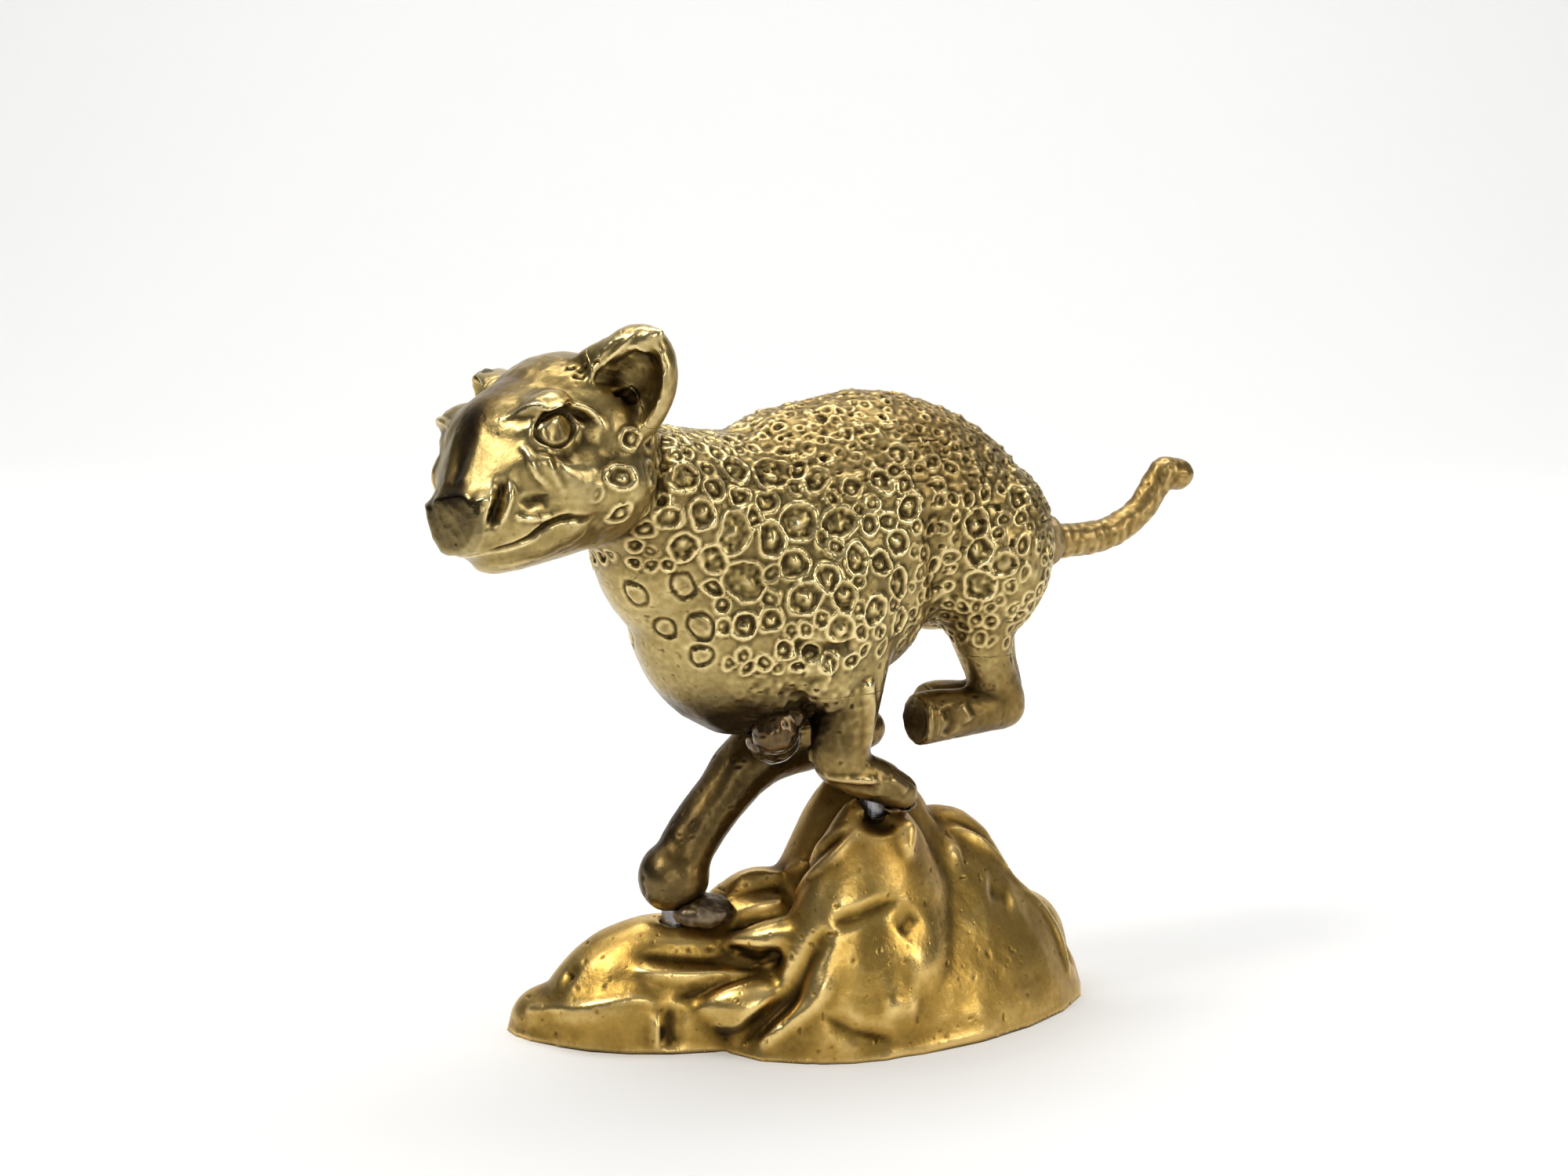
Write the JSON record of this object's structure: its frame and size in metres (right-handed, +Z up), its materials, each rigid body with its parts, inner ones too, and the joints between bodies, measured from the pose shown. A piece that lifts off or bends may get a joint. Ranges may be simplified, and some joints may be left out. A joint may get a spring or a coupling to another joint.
{
  "type": "hood ornament",
  "caption": "Cast brass running spotted cat, leaping over a hollow rock base with tapped bosses underneath for fixing to a hood.",
  "frame": {"origin": "middle of the object's box in plan, on the surface that the rock base's rim stands on", "axes": "+Z up, the cat runs towards -X, and its left side faces -Y"},
  "size_m": [0.1464, 0.0478, 0.1148],
  "materials": {
    "head_brass": "aged cast brass, worn bright on the high spots and dark in the hollows",
    "left_ear_brass": "aged cast brass, worn bright on the high spots and dark in the hollows",
    "right_ear_brass": "aged cast brass, worn bright on the high spots and dark in the hollows",
    "torso_brass": "aged cast brass, worn bright on the high spots and dark in the hollows",
    "tail_brass": "aged cast brass, worn bright on the high spots and dark in the hollows",
    "left_foreleg_brass": "aged cast brass, worn bright on the high spots and dark in the hollows",
    "right_foreleg_brass": "aged cast brass, worn bright on the high spots and dark in the hollows",
    "left_hind_leg_brass": "aged cast brass, worn bright on the high spots and dark in the hollows",
    "right_hind_leg_brass": "aged cast brass, worn bright on the high spots and dark in the hollows",
    "rock_base_brass": "polished cast brass with a golden tarnish",
    "dark_braze": "torch-blackened glossy braze",
    "grey_solder": "dull grey soft solder",
    "brass_braze": "filed brass braze",
    "fixing_steel": "plain zinc-plated steel"
  },
  "bodies": {
    "root": {"head_casting": "head_brass", "left_ear_casting": "left_ear_brass", "right_ear_casting": "right_ear_brass", "torso_casting": "torso_brass", "tail_casting": "tail_brass", "left_foreleg_casting": "left_foreleg_brass", "right_foreleg_casting": "right_foreleg_brass", "left_hind_leg_casting": "left_hind_leg_brass", "right_hind_leg_casting": "right_hind_leg_brass", "rock_base_casting": "rock_base_brass", "chest_braze_bead": "dark_braze", "left_forepaw_braze": "dark_braze", "right_forepaw_solder": "grey_solder", "tail_root_braze": "brass_braze", "right_forepaw_stud": "fixing_steel", "right_forepaw_washer": "fixing_steel", "right_forepaw_nut": "fixing_steel", "left_forepaw_stud": "fixing_steel", "left_forepaw_washer": "fixing_steel", "left_forepaw_nut": "fixing_steel"}
  },
  "joints": []
}
